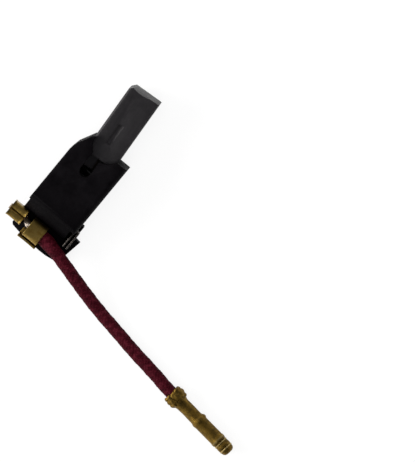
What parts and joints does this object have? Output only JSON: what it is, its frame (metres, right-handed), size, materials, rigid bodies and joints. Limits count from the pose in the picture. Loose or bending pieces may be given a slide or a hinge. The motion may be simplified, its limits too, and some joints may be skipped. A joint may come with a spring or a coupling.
{
  "type": "carbon brush",
  "caption": "Spring-fed carbon brush in a black moulded holder, with a crimped brass flag terminal and a short sleeved lead that ends in a bullet pin.",
  "frame": {"origin": "on the back face, in the middle of the brush box's width, in line with the box's rear wall", "axes": "+Y along the holder towards the contact end of the brush, +Z from the back face to the front face with the notch, X across the width with the lead leaving on the -X to +X side"},
  "size_m": [0.0603, 0.0439, 0.0093],
  "materials": {
    "moulding": "satin black moulding",
    "graphite": "ground carbon graphite",
    "copper": "bare copper, matt",
    "spring_steel": "drawn wire",
    "brass": "stamped and rolled brass, dull",
    "tinned_copper": "tinned strands",
    "clip_steel": "thin strip, bright edge",
    "sleeve": "dark red insulation"
  },
  "bodies": {
    "holder": {"holder": "moulding", "flag_terminal": "brass", "retaining_clip": "clip_steel", "pressure_spring": "spring_steel", "shunt": "copper", "conductor": "tinned_copper", "lead_sleeve": "sleeve", "bullet_pin": "brass"},
    "brush": {"carbon_block": "graphite", "tamped_plug": "copper"}
  },
  "joints": [
    {"name": "brush_feed", "type": "slide", "parent": "holder", "child": "brush", "axis": [-0.0698, 0.9976, 0], "range_m": [-0.0058, 0], "stiffness_N_per_m": 400, "springref_m": 0.004, "deforming": ["pressure_spring", "shunt"]}
  ]
}
